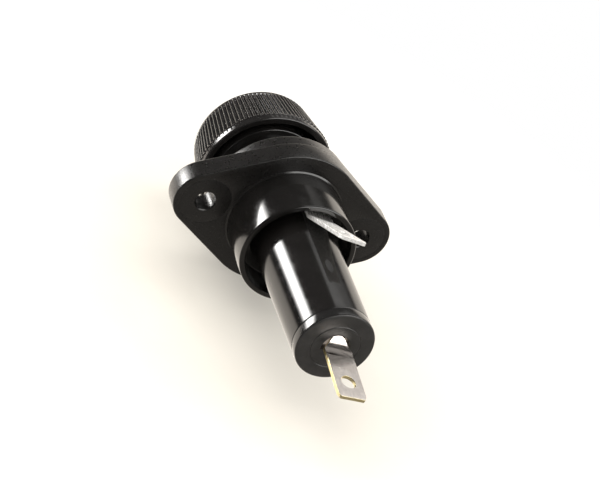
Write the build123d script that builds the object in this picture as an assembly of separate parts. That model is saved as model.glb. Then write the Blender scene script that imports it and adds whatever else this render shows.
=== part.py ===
from build123d import *
import math
import os

# Panel-mounted holder for one cartridge fuse, with a fluted bayonet knob.
#
# Frame, in millimetres: +Z up, the Y axis is the axis of the barrel, X runs through both screw holes.
# The origin is the centre of the flange's rear face, which lies on the panel. The knob is at -Y and
# the terminals are at +Y. A clock angle is measured about the Y axis from +Z towards +X.
#
# The carrier and the knob are drawn pushed home, and are exported LIFT further out, unlatched.

# ---- Driving dimensions ----

# The fuse, a 13/32 x 1-1/2 inch midget cartridge.
FUSE_LENGTH = 38.1
FUSE_RADIUS = 5.16
FUSE_CAP_LENGTH = 9.5
FUSE_CAP_WALL = 0.26
FUSE_CAP_END = 0.5
FUSE_CAP_ROUND = 0.4
FUSE_TUBE_WALL = 1.4
FUSE_TUBE_SETBACK = 0.6
FUSE_TUBE_GAP = 0.02
ELEMENT_WIDTH = 2.4
ELEMENT_THICKNESS = 0.3
ELEMENT_SETBACK = 0.55
FUSE_FRONT = -6.4

# The flange and the round boss on its front.
HOLE_SPACING = 38.1
HOLE_RADIUS = 2.2
FLANGE_THICKNESS = 5.2
FLANGE_END_RADIUS = 7.0
FLANGE_MIDDLE_RADIUS = 16.8
FLANGE_FRONT_ROUND = 0.5
FLANGE_REAR_ROUND = 0.3
BOSS_RADIUS = 16.3
BOSS_HEIGHT = 3.4
BOSS_ROUND = 0.7
PAD_GROOVE_RADIUS = 5.8
RING_GROOVE_WIDTH = 0.3
RING_GROOVE_DEPTH = 0.15

# The collar behind the flange, and the barrel inside it.
COLLAR_RADIUS = 12.7
COLLAR_WALL = 1.3
COLLAR_LENGTH = 11.8
COLLAR_ROUND = 0.4
RECESS_ROUND = 0.3
RECESS_FLOOR = 5.0
BARREL_ROOT_RADIUS = 8.7
BARREL_END_RADIUS = 8.3
BARREL_END = 38.4
BARREL_END_ROUND = 0.2
FUSE_BORE_RADIUS = 5.6
MOUTH_RADIUS = 9.7
MOUTH_FLOOR = 3.0

# The bayonet: two lugs on the sleeve turn a quarter turn behind the boss.
LIFT = 6.3
QUARTER_TURN = 90.0
LUG_RADIUS = 10.9
LUG_FRONT = -4.5
LUG_REAR = -2.5
LUG_HALF_ANGLE = 20.0
SLOT_RADIUS = 11.1
SLOT_HALF_ANGLE = 20.6
CHANNEL_FRONT = -4.6
CHANNEL_REAR = -0.9
SLEEVE_RADIUS = 9.5
SLEEVE_INNER_RADIUS = 8.8
SLEEVE_END = -0.5
SLEEVE_INSERTION = 1.0

# The knob.
KNOB_REAR = -10.4
KNOB_FRONT = -23.6
KNOB_REAR_RADIUS = 15.3
KNOB_FRONT_RADIUS = 13.7
KNOB_WALL = 1.7
KNOB_REAR_ROUND = 0.3
KNOB_FRONT_ROUND = 0.9
SKIRT_HEIGHT = 1.6
RIM_HEIGHT = 1.2
FLUTES = 90
FLUTE_DEPTH = 0.45
HUB_RADIUS = 11.9
HUB_BORE_RADIUS = 10.8
UNDERSIDE_DEPTH = 10.5
WEB_REAR = -10.5
WEB_THICKNESS = 2.0
FACE_DISC_RADIUS = 11.15
FACE_DISC_THICKNESS = 1.5
FACE_DISC_INSET = 0.4
FACE_DISC_ROUND = 0.25
COIN_SLOT_WIDTH = 1.6
COIN_SLOT_LENGTH = 14.0
COIN_SLOT_DEPTH = 0.9

# The carrier that grips the fuse, and the stud that holds it to the knob.
CUP_RADIUS = 5.7
CUP_BORE_RADIUS = 5.25
CUP_FLANGE_RADIUS = 8.6
CUP_FLANGE_FRONT = 1.3
CUP_FLANGE_REAR = 2.1
CUP_BOTTOM_FRONT = -7.5
CUP_BOTTOM_THICKNESS = 0.5
CUP_ROUND = 0.3
CUP_SLITS = 4
CUP_SLIT_WIDTH = 0.8
CUP_SLIT_CLOCK = 45.0
CUP_SLIT_FRONT_MARGIN = 1.5
CUP_SLIT_REAR_MARGIN = 1.0
STUD_RADIUS = 1.5
STUD_CONTACT_RADIUS = 2.4
STUD_HEAD_RADIUS = 2.1
STUD_HEAD_HEIGHT = 0.8
STUD_HEAD_ROUND = 0.5
STUD_WASHER_RADIUS = 3.2
STUD_WASHER_THICKNESS = 0.6
FIBRE_WASHER_RADIUS = 4.6
FIBRE_WASHER_THICKNESS = 0.5
THRUST_WASHER_RADIUS = 8.6
THRUST_WASHER_THICKNESS = 0.75
RUNNING_GAP = 0.06
KNOB_SPRING_RADIUS = 7.6
KNOB_SPRING_WIRE = 0.9
KNOB_SPRING_PITCH = 2.5

# The rear contact.
PLUNGER_RADIUS = 5.0
PLUNGER_HEAD_THICKNESS = 1.0
PLUNGER_STEM_RADIUS = 2.2
PLUNGER_STEM_LENGTH = 1.0
PLUNGER_ROUND = 0.3
REAR_DISC_RADIUS = 4.6
REAR_SPRING_RADIUS = 3.4
REAR_SPRING_WIRE = 0.6
REAR_SPRING_PITCH = 1.25

# The plug that closes the barrel.
PLUG_END = 40.9
PLUG_WALL = 0.9
PLUG_SPIGOT_RADIUS = 5.5
PLUG_SPIGOT_BORE_RADIUS = 4.75
PLUG_SPIGOT_LENGTH = 2.0
PLUG_REAR_ROUND = 0.5
PLUG_FRONT_ROUND = 0.2
PLUG_RING_RADIUS = 5.2
WINDOW_WIDTH = 6.0
WINDOW_LOW = -1.2
WINDOW_SPRING = -0.05
WINDOW_TOP = 2.95

# The two terminals, 1/4 inch tabs of 0.8 mm strip.
TAB_WIDTH = 6.35
TAB_THICKNESS = 0.8
TAB_HOLE_RADIUS = 1.6
TAB_HOLE_SETBACK = 4.2
TAB_TIP_CHAMFER = 0.9
REAR_NECK_WIDTH = 2.6
REAR_NECK_END = 42.2
REAR_NECK_ROOT = 2.6
REAR_NECK_MIDDLE = (40.9, 0.95)
REAR_TAB_BEND = 44.1
REAR_TAB_TIP = 55.0
REAR_TAB_DROP = 0.9
SIDE_TAB_CLOCK = -5.0
SIDE_TAB_OFFSET = 9.25
SIDE_TAB_BEND = 11.1
SIDE_TAB_LEAN = 23.0
SIDE_TAB_LENGTH = 15.4
SIDE_TAB_OVERLAP = 0.15
CONTACT_RING_FRONT = 2.2
CONTACT_RING_RADIUS = 9.6
CONTACT_RING_BORE = 6.0
FOOT_INNER_RADIUS = 6.1
RIVET_OFFSET = 7.4
RIVET_RADIUS = 0.8
RIVET_HOLE_RADIUS = 0.83
RIVET_TAIL_RADIUS = 1.4
RIVET_TAIL_HEIGHT = 0.7

# Gaps between pieces that touch in the real holder, and overshoot for cuts that leave a solid.
SEAT_GAP = 0.05
POCKET_GAP = 0.1
OVERCUT = 1.0

# ---- Dimensions that follow from the driving ones ----

BOSS_FRONT = -FLANGE_THICKNESS - BOSS_HEIGHT
RECESS_RADIUS = COLLAR_RADIUS - COLLAR_WALL
FUSE_REAR = FUSE_FRONT + FUSE_LENGTH
WEB_FRONT = WEB_REAR - WEB_THICKNESS
FACE_DISC_FRONT = KNOB_FRONT + FACE_DISC_INSET
FACE_DISC_REAR = FACE_DISC_FRONT + FACE_DISC_THICKNESS
SLEEVE_FRONT = WEB_REAR - SLEEVE_INSERTION
STUD_CONTACT_FRONT = CUP_BOTTOM_FRONT + CUP_BOTTOM_THICKNESS
STUD_CONTACT_REAR = FUSE_FRONT - SEAT_GAP
STUD_WASHER_REAR = WEB_FRONT - SEAT_GAP
STUD_WASHER_FRONT = STUD_WASHER_REAR - STUD_WASHER_THICKNESS
THRUST_WASHER_REAR = WEB_REAR + SEAT_GAP + THRUST_WASHER_THICKNESS
PLUNGER_FRONT = FUSE_REAR + POCKET_GAP
PLUNGER_HEAD_REAR = PLUNGER_FRONT + PLUNGER_HEAD_THICKNESS
PLUG_SHOULDER = BARREL_END + SEAT_GAP
SPIGOT_FRONT = BARREL_END - PLUG_SPIGOT_LENGTH
PLUG_WALL_FRONT = PLUG_END - PLUG_WALL
REAR_DISC_REAR = PLUG_WALL_FRONT - SEAT_GAP
REAR_DISC_FRONT = REAR_DISC_REAR - TAB_THICKNESS


# ---- Shape helpers ----


def turned(outline, rounds=()):
    """Solid of revolution about Y from (radius, y) points, with (corner, fillet radius) rounds."""
    section = make_face(Polyline(*outline, close=True))
    for corner, fillet_radius in rounds:
        vertex = section.vertices().sort_by_distance(Vector(*corner))[0]
        section = fillet(vertex, fillet_radius)
    return revolve(section, axis=Axis.Y)


def tube(inner_radius, outer_radius, front, rear):
    """Round tube, or a solid disc when the inner radius is zero."""
    outline = [(inner_radius, front), (outer_radius, front), (outer_radius, rear), (inner_radius, rear)]
    return turned(outline)


def ring_groove(outer_radius, face):
    """Cut for a shallow ring in a face that looks towards +Y."""
    return tube(outer_radius - RING_GROOVE_WIDTH, outer_radius, face - RING_GROOVE_DEPTH, face + OVERCUT)


def sector(inner_radius, outer_radius, front, rear, clock_from, clock_to):
    """Part of a round tube between two clock angles."""
    outline = [(inner_radius, front), (outer_radius, front), (outer_radius, rear), (inner_radius, rear)]
    section = make_face(Polyline(*outline, close=True))
    wedge = revolve(section, axis=Axis.Y, revolution_arc=clock_to - clock_from)
    return Rot(0, clock_from - 90, 0) * wedge


def block(x_low, x_high, y_low, y_high, z_low, z_high):
    """Box between two corners."""
    size = (x_high - x_low, y_high - y_low, z_high - z_low)
    centre = ((x_low + x_high) / 2, (y_low + y_high) / 2, (z_low + z_high) / 2)
    return Pos(*centre) * Box(*size)


def strip(points, width, thickness):
    """Flat metal strip of the given width along X, whose middle line has these (y, z) points."""
    path = Polyline(*points)
    return extrude(Plane.YZ * trace(path, thickness), amount=width / 2, both=True)


def coil(mean_radius, wire, front, rear, pitch):
    """Round-wire compression spring about Y that fills the space from front to rear."""
    height = rear - front - wire
    path = Helix(pitch=pitch, height=height, radius=mean_radius)
    section = Plane(origin=path @ 0, z_dir=path % 0) * Circle(wire / 2)
    upright = sweep(section, path=path)
    return Pos(0, front + wire / 2, 0) * Rot(-90, 0, 0) * upright


def tab_plan(root, tip):
    """Quick-connect tab seen from above, with a chamfered tip and a hole; root lists its first (x, y) points."""
    half = TAB_WIDTH / 2
    side = root + [(half, tip - TAB_TIP_CHAMFER), (half - TAB_TIP_CHAMFER / 2, tip)]
    mirrored = [(-x, y) for x, y in reversed(side)]
    face = make_face(Polyline(*side, *mirrored, close=True))
    return face - Pos(0, tip - TAB_HOLE_SETBACK) * Circle(TAB_HOLE_RADIUS)


# ---- Housing ----


def flange_plate():
    """Diamond flange with two screw holes, each ringed by a shallow groove on the rear face."""
    outline = Curve()
    outline += CenterArc((0, 0), FLANGE_MIDDLE_RADIUS, 0, 360)
    for side in (-1, 1):
        outline += CenterArc((side * HOLE_SPACING / 2, 0), FLANGE_END_RADIUS, 0, 360)
    face = make_hull(outline.edges())
    plate = extrude(Plane.XZ * face, amount=FLANGE_THICKNESS)
    plate = fillet(plate.faces().sort_by(Axis.Y)[0].edges(), FLANGE_FRONT_ROUND)
    plate = fillet(plate.faces().sort_by(Axis.Y)[-1].edges(), FLANGE_REAR_ROUND)
    for side in (-1, 1):
        centre = Pos(side * HOLE_SPACING / 2, 0, 0)
        plate -= centre * tube(0, HOLE_RADIUS, -FLANGE_THICKNESS - OVERCUT, OVERCUT)
        plate -= centre * ring_groove(PAD_GROOVE_RADIUS, 0)
    return plate


def bayonet_track():
    """Everything cut from the mouth of the housing for the two lugs and for fitting the side tab."""
    cuts = []
    for start in (SIDE_TAB_CLOCK, SIDE_TAB_CLOCK + 180):
        low = start - SLOT_HALF_ANGLE
        high = start + SLOT_HALF_ANGLE
        inner = MOUTH_RADIUS - OVERCUT
        cuts.append(sector(inner, SLOT_RADIUS, BOSS_FRONT - OVERCUT, CHANNEL_REAR, low, high))
        cuts.append(sector(inner, SLOT_RADIUS, CHANNEL_FRONT, CHANNEL_REAR, low, high + QUARTER_TURN))
    return cuts


def side_tab_pocket():
    """Room in the mouth floor and the web for the side tab's foot and strip, and for its rivet."""
    half = TAB_WIDTH / 2 + POCKET_GAP
    inner = SIDE_TAB_OFFSET - TAB_THICKNESS / 2 - SEAT_GAP
    outer = SIDE_TAB_OFFSET + TAB_THICKNESS / 2 + POCKET_GAP
    foot_rear = MOUTH_FLOOR + TAB_THICKNESS + SEAT_GAP
    tail_rear = foot_rear + RIVET_TAIL_HEIGHT + POCKET_GAP
    foot = block(-half, half, CHANNEL_REAR, foot_rear, FOOT_INNER_RADIUS - POCKET_GAP, outer)
    way_through = block(-half, half, CHANNEL_REAR, RECESS_FLOOR + POCKET_GAP, inner, outer)
    tail = tube(0, RIVET_TAIL_RADIUS + POCKET_GAP, foot_rear - SEAT_GAP, tail_rear)
    pocket = foot + way_through + Pos(0, 0, RIVET_OFFSET) * tail
    return Rot(0, SIDE_TAB_CLOCK, 0) * pocket


def make_housing():
    """One black moulding: flange, boss, collar and barrel, open through its whole length."""
    outline = [
        (MOUTH_RADIUS, BOSS_FRONT),
        (BOSS_RADIUS, BOSS_FRONT),
        (BOSS_RADIUS, -FLANGE_THICKNESS / 2),
        (COLLAR_RADIUS, -FLANGE_THICKNESS / 2),
        (COLLAR_RADIUS, COLLAR_LENGTH),
        (RECESS_RADIUS, COLLAR_LENGTH),
        (RECESS_RADIUS, RECESS_FLOOR),
        (BARREL_ROOT_RADIUS, RECESS_FLOOR),
        (BARREL_END_RADIUS, BARREL_END),
        (FUSE_BORE_RADIUS, BARREL_END),
        (FUSE_BORE_RADIUS, MOUTH_FLOOR),
        (MOUTH_RADIUS, MOUTH_FLOOR),
    ]
    rounds = [
        ((BOSS_RADIUS, BOSS_FRONT), BOSS_ROUND),
        ((COLLAR_RADIUS, COLLAR_LENGTH), COLLAR_ROUND),
        ((RECESS_RADIUS, COLLAR_LENGTH), RECESS_ROUND),
        ((BARREL_END_RADIUS, BARREL_END), BARREL_END_ROUND),
    ]
    body = turned(outline, rounds)
    plate = flange_plate() - tube(0, RECESS_RADIUS, -FLANGE_THICKNESS - OVERCUT, OVERCUT)
    body += plate
    for cut in bayonet_track():
        body -= cut
    return body - side_tab_pocket()


# ---- Knob ----


def fluted_band():
    """Tapered band of the knob with straight flutes, from the skirt to the plain rim."""

    def star(radius, y):
        points = []
        for flute in range(FLUTES):
            for half_step, depth in ((0, 0), (1, FLUTE_DEPTH)):
                angle = 2 * math.pi * (flute + half_step / 2) / FLUTES
                reach = radius - depth
                points.append((reach * math.sin(angle), y, reach * math.cos(angle)))
        return make_face(Polyline(*points, close=True))

    rear = star(KNOB_REAR_RADIUS, KNOB_REAR - SKIRT_HEIGHT)
    front = star(KNOB_FRONT_RADIUS, KNOB_FRONT + RIM_HEIGHT)
    return loft([rear, front], ruled=True)


def make_knob_cap():
    """Hollow fluted knob: skirt, flutes and rim outside, a hub with a cross web inside."""
    skirt_front = KNOB_REAR - SKIRT_HEIGHT
    rim_rear = KNOB_FRONT + RIM_HEIGHT
    skirt_radius = KNOB_REAR_RADIUS - FLUTE_DEPTH / 2
    rim_radius = KNOB_FRONT_RADIUS - FLUTE_DEPTH / 2
    skirt_outline = [(0, KNOB_REAR), (skirt_radius, KNOB_REAR), (skirt_radius, skirt_front), (0, skirt_front)]
    rim_outline = [(0, rim_rear), (rim_radius, rim_rear), (rim_radius, KNOB_FRONT), (0, KNOB_FRONT)]
    knob = turned(skirt_outline, [((skirt_radius, KNOB_REAR), KNOB_REAR_ROUND)])
    knob += fluted_band()
    knob += turned(rim_outline, [((rim_radius, KNOB_FRONT), KNOB_FRONT_ROUND)])

    hollow_end = KNOB_REAR - UNDERSIDE_DEPTH
    hollow = [
        (HUB_RADIUS, KNOB_REAR + OVERCUT),
        (KNOB_REAR_RADIUS - KNOB_WALL, KNOB_REAR + OVERCUT),
        (KNOB_REAR_RADIUS - KNOB_WALL, KNOB_REAR),
        (KNOB_FRONT_RADIUS - KNOB_WALL + FLUTE_DEPTH, hollow_end),
        (HUB_RADIUS, hollow_end),
    ]
    knob -= turned(hollow)
    knob -= tube(0, HUB_RADIUS + OVERCUT, WEB_REAR, KNOB_REAR + OVERCUT)
    knob -= tube(0, HUB_BORE_RADIUS, KNOB_FRONT - OVERCUT, WEB_FRONT)
    knob -= tube(0, FACE_DISC_RADIUS + SEAT_GAP, KNOB_FRONT - OVERCUT, FACE_DISC_REAR + SEAT_GAP)
    knob -= tube(0, STUD_RADIUS + RUNNING_GAP, WEB_FRONT - OVERCUT, WEB_REAR + OVERCUT)
    seat_inner = SLEEVE_INNER_RADIUS - SEAT_GAP
    seat_outer = SLEEVE_RADIUS + SEAT_GAP
    return knob - tube(seat_inner, seat_outer, SLEEVE_FRONT - SEAT_GAP, WEB_REAR + OVERCUT)


def make_knob_face_disc():
    """Disc that closes the front of the knob, with a coin slot."""
    outline = [
        (0, FACE_DISC_FRONT),
        (FACE_DISC_RADIUS, FACE_DISC_FRONT),
        (FACE_DISC_RADIUS, FACE_DISC_REAR),
        (0, FACE_DISC_REAR),
    ]
    disc = turned(outline, [((FACE_DISC_RADIUS, FACE_DISC_FRONT), FACE_DISC_ROUND)])
    half_length = COIN_SLOT_LENGTH / 2
    half_width = COIN_SLOT_WIDTH / 2
    slot_end = FACE_DISC_FRONT + COIN_SLOT_DEPTH
    return disc - block(-half_length, half_length, FACE_DISC_FRONT - OVERCUT, slot_end, -half_width, half_width)


def make_bayonet_sleeve():
    """Sleeve on the back of the knob, with two lugs."""
    sleeve = tube(SLEEVE_INNER_RADIUS, SLEEVE_RADIUS, SLEEVE_FRONT, SLEEVE_END)
    middle = (SLEEVE_INNER_RADIUS + SLEEVE_RADIUS) / 2
    for start in (SIDE_TAB_CLOCK, SIDE_TAB_CLOCK + 180):
        low = start - LUG_HALF_ANGLE
        high = start + LUG_HALF_ANGLE
        sleeve += sector(middle, LUG_RADIUS, LUG_FRONT, LUG_REAR, low, high)
    return sleeve


# ---- Carrier ----


def make_carrier_cup():
    """Thin brass cup that grips the front cap of the fuse, with a contact flange at its rear end."""
    bottom_rear = CUP_BOTTOM_FRONT + CUP_BOTTOM_THICKNESS
    outline = [
        (STUD_RADIUS, CUP_BOTTOM_FRONT),
        (CUP_RADIUS, CUP_BOTTOM_FRONT),
        (CUP_RADIUS, CUP_FLANGE_FRONT),
        (CUP_FLANGE_RADIUS, CUP_FLANGE_FRONT),
        (CUP_FLANGE_RADIUS, CUP_FLANGE_REAR),
        (CUP_BORE_RADIUS, CUP_FLANGE_REAR),
        (CUP_BORE_RADIUS, bottom_rear),
        (STUD_RADIUS, bottom_rear),
    ]
    cup = turned(outline, [((CUP_RADIUS, CUP_BOTTOM_FRONT), CUP_ROUND)])
    half = CUP_SLIT_WIDTH / 2
    slit_front = bottom_rear + CUP_SLIT_FRONT_MARGIN
    slit_rear = CUP_FLANGE_FRONT - CUP_SLIT_REAR_MARGIN
    slit = block(-half, half, slit_front, slit_rear, CUP_BORE_RADIUS - OVERCUT, CUP_RADIUS + OVERCUT)
    for turn in range(CUP_SLITS):
        cup -= Rot(0, CUP_SLIT_CLOCK + turn * 360 / CUP_SLITS, 0) * slit
    return cup


def make_carrier_stud():
    """Stud with a contact face inside the cup and a riveted head in front of the knob's web."""
    head_rear = STUD_WASHER_FRONT
    head_front = head_rear - STUD_HEAD_HEIGHT
    outline = [
        (0, head_front),
        (STUD_HEAD_RADIUS, head_front),
        (STUD_HEAD_RADIUS, head_rear),
        (STUD_RADIUS, head_rear),
        (STUD_RADIUS, STUD_CONTACT_FRONT),
        (STUD_CONTACT_RADIUS, STUD_CONTACT_FRONT),
        (STUD_CONTACT_RADIUS, STUD_CONTACT_REAR),
        (0, STUD_CONTACT_REAR),
    ]
    return turned(outline, [((STUD_HEAD_RADIUS, head_front), STUD_HEAD_ROUND)])


def make_stud_washer():
    """Plain washer between the riveted head and the knob's web."""
    return tube(STUD_RADIUS, STUD_WASHER_RADIUS, STUD_WASHER_FRONT, STUD_WASHER_REAR)


def make_fibre_washer():
    """Insulating washer on the stud, against the bottom of the cup."""
    front = CUP_BOTTOM_FRONT - FIBRE_WASHER_THICKNESS
    return tube(STUD_RADIUS, FIBRE_WASHER_RADIUS, front, CUP_BOTTOM_FRONT)


def make_thrust_washer():
    """Washer that the knob spring pushes against, and that the knob turns on."""
    bore = STUD_RADIUS + RUNNING_GAP
    return tube(bore, THRUST_WASHER_RADIUS, WEB_REAR + SEAT_GAP, THRUST_WASHER_REAR)


def make_knob_spring():
    """Spring that presses the carrier on to the fuse and loads the bayonet."""
    front = THRUST_WASHER_REAR + SEAT_GAP
    rear = CUP_FLANGE_FRONT - SEAT_GAP
    return coil(KNOB_SPRING_RADIUS, KNOB_SPRING_WIRE, front, rear, KNOB_SPRING_PITCH)


# ---- Fuse ----


def make_fuse_tube():
    """Insulating tube of the fuse."""
    outer = FUSE_RADIUS - FUSE_CAP_WALL - FUSE_TUBE_GAP
    front = FUSE_FRONT + FUSE_TUBE_SETBACK
    rear = FUSE_REAR - FUSE_TUBE_SETBACK
    return tube(outer - FUSE_TUBE_WALL, outer, front, rear)


def fuse_cap():
    """End cap of the fuse, closed at y = 0 and open towards +Y."""
    inner = FUSE_RADIUS - FUSE_CAP_WALL
    outline = [
        (0, 0),
        (FUSE_RADIUS, 0),
        (FUSE_RADIUS, FUSE_CAP_LENGTH),
        (inner, FUSE_CAP_LENGTH),
        (inner, FUSE_CAP_END),
        (0, FUSE_CAP_END),
    ]
    return turned(outline, [((FUSE_RADIUS, 0), FUSE_CAP_ROUND)])


def make_fuse_cap_front():
    """Cap at the knob end."""
    return Pos(0, FUSE_FRONT, 0) * fuse_cap()


def make_fuse_cap_rear():
    """Cap at the terminal end."""
    return Pos(0, FUSE_REAR, 0) * Rot(180, 0, 0) * fuse_cap()


def make_fuse_element():
    """Fusible strip down the middle of the tube."""
    half_width = ELEMENT_WIDTH / 2
    half_thickness = ELEMENT_THICKNESS / 2
    front = FUSE_FRONT + ELEMENT_SETBACK
    rear = FUSE_REAR - ELEMENT_SETBACK
    return block(-half_width, half_width, front, rear, -half_thickness, half_thickness)


# ---- Rear contact ----


def make_rear_plunger():
    """Sprung contact that meets the rear cap of the fuse."""
    outline = [
        (0, PLUNGER_FRONT),
        (PLUNGER_RADIUS, PLUNGER_FRONT),
        (PLUNGER_RADIUS, PLUNGER_HEAD_REAR),
        (PLUNGER_STEM_RADIUS, PLUNGER_HEAD_REAR),
        (PLUNGER_STEM_RADIUS, PLUNGER_HEAD_REAR + PLUNGER_STEM_LENGTH),
        (0, PLUNGER_HEAD_REAR + PLUNGER_STEM_LENGTH),
    ]
    return turned(outline, [((PLUNGER_RADIUS, PLUNGER_FRONT), PLUNGER_ROUND)])


def make_rear_spring():
    """Spring between the rear plunger and the rear terminal."""
    front = PLUNGER_HEAD_REAR + SEAT_GAP
    rear = REAR_DISC_FRONT - SEAT_GAP
    return coil(REAR_SPRING_RADIUS, REAR_SPRING_WIRE, front, rear, REAR_SPRING_PITCH)


def make_rear_terminal():
    """Disc behind the plug's end wall, and the strip that curves out of it into a quick-connect tab."""
    neck = ThreePointArc((REAR_DISC_REAR - TAB_THICKNESS / 2, REAR_NECK_ROOT), REAR_NECK_MIDDLE, (REAR_TAB_BEND, 0))
    flat = Line((REAR_TAB_BEND, 0), (REAR_TAB_TIP, -REAR_TAB_DROP))
    side_view = extrude(Plane.YZ * trace(neck + flat, TAB_THICKNESS), amount=TAB_WIDTH / 2, both=True)
    root = [
        (REAR_NECK_WIDTH / 2, REAR_DISC_FRONT),
        (REAR_NECK_WIDTH / 2, PLUG_WALL_FRONT),
        (TAB_WIDTH / 2, REAR_NECK_END),
    ]
    top_view = extrude(tab_plan(root, REAR_TAB_TIP), amount=REAR_DISC_RADIUS, both=True)
    return tube(0, REAR_DISC_RADIUS, REAR_DISC_FRONT, REAR_DISC_REAR) + (side_view & top_view)


def make_barrel_end_plug():
    """Black plug that closes the barrel, with an arched window for the rear terminal."""
    outline = [
        (0, PLUG_WALL_FRONT),
        (PLUG_SPIGOT_BORE_RADIUS, PLUG_WALL_FRONT),
        (PLUG_SPIGOT_BORE_RADIUS, SPIGOT_FRONT),
        (PLUG_SPIGOT_RADIUS, SPIGOT_FRONT),
        (PLUG_SPIGOT_RADIUS, PLUG_SHOULDER),
        (BARREL_END_RADIUS, PLUG_SHOULDER),
        (BARREL_END_RADIUS, PLUG_END),
        (0, PLUG_END),
    ]
    rounds = [
        ((BARREL_END_RADIUS, PLUG_END), PLUG_REAR_ROUND),
        ((BARREL_END_RADIUS, PLUG_SHOULDER), PLUG_FRONT_ROUND),
    ]
    plug = turned(outline, rounds)
    half = WINDOW_WIDTH / 2
    arch = ThreePointArc((half, WINDOW_SPRING), (0, WINDOW_TOP), (-half, WINDOW_SPRING))
    sides = Polyline((-half, WINDOW_SPRING), (-half, WINDOW_LOW), (half, WINDOW_LOW), (half, WINDOW_SPRING))
    window = Plane.XZ * make_face(arch.edges() + sides.edges())
    plug -= Pos(0, PLUG_END + OVERCUT, 0) * extrude(window, amount=PLUG_WALL + 2 * OVERCUT)
    return plug - ring_groove(PLUG_RING_RADIUS, PLUG_END)


# ---- Front contact ----


def make_front_contact_ring():
    """Ring on the mouth floor that the carrier's flange presses on."""
    ring = tube(CONTACT_RING_BORE, CONTACT_RING_RADIUS, CONTACT_RING_FRONT, MOUTH_FLOOR)
    hole = tube(0, RIVET_HOLE_RADIUS, CONTACT_RING_FRONT - OVERCUT, MOUTH_FLOOR + OVERCUT)
    hole = Pos(0, 0, RIVET_OFFSET) * hole
    return ring - Rot(0, SIDE_TAB_CLOCK, 0) * hole


def make_side_terminal():
    """Strip with a foot under the contact ring, which passes through the web and leans outwards."""
    half_thickness = TAB_THICKNESS / 2
    foot_middle = MOUTH_FLOOR + half_thickness + SEAT_GAP / 2
    lower = strip(
        [(foot_middle, FOOT_INNER_RADIUS), (foot_middle, SIDE_TAB_OFFSET), (SIDE_TAB_BEND, SIDE_TAB_OFFSET)],
        TAB_WIDTH,
        TAB_THICKNESS,
    )
    lower -= Pos(0, 0, RIVET_OFFSET) * tube(0, RIVET_HOLE_RADIUS, MOUTH_FLOOR - OVERCUT, RECESS_FLOOR)
    plan = tab_plan([(TAB_WIDTH / 2, -SIDE_TAB_OVERLAP)], SIDE_TAB_LENGTH)
    tab = extrude(plan, amount=half_thickness, both=True)
    tab = Pos(0, SIDE_TAB_BEND, SIDE_TAB_OFFSET) * Rot(SIDE_TAB_LEAN, 0, 0) * tab
    return Rot(0, SIDE_TAB_CLOCK, 0) * (lower + tab)


def make_side_terminal_rivet():
    """Flush rivet that joins the contact ring to the side terminal's foot."""
    tail_front = MOUTH_FLOOR + TAB_THICKNESS + SEAT_GAP
    shank = tube(0, RIVET_RADIUS, CONTACT_RING_FRONT, tail_front)
    tail = tube(0, RIVET_TAIL_RADIUS, tail_front, tail_front + RIVET_TAIL_HEIGHT)
    return Rot(0, SIDE_TAB_CLOCK, 0) * Pos(0, 0, RIVET_OFFSET) * (shank + tail)


# ---- Assembly ----

FIXED = {
    "housing": make_housing,
    "barrel_end_plug": make_barrel_end_plug,
    "front_contact_ring": make_front_contact_ring,
    "side_terminal": make_side_terminal,
    "side_terminal_rivet": make_side_terminal_rivet,
    "rear_terminal": make_rear_terminal,
    "rear_plunger": make_rear_plunger,
    "rear_spring": make_rear_spring,
}

WITHDRAWN = {
    "carrier_cup": make_carrier_cup,
    "carrier_stud": make_carrier_stud,
    "stud_washer": make_stud_washer,
    "fibre_washer": make_fibre_washer,
    "thrust_washer": make_thrust_washer,
    "knob_spring": make_knob_spring,
    "bayonet_sleeve": make_bayonet_sleeve,
    "knob_cap": make_knob_cap,
    "knob_face_disc": make_knob_face_disc,
    "fuse_tube": make_fuse_tube,
    "fuse_cap_front": make_fuse_cap_front,
    "fuse_cap_rear": make_fuse_cap_rear,
    "fuse_element": make_fuse_element,
}

os.makedirs("parts", exist_ok=True)

for name, make in FIXED.items():
    export_step(make(), f"parts/{name}.step")

for name, make in WITHDRAWN.items():
    export_step(Pos(0, -LIFT, 0) * make(), f"parts/{name}.step")
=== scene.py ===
import math

import bmesh
import bpy
from mathutils import Matrix, Vector


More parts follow.
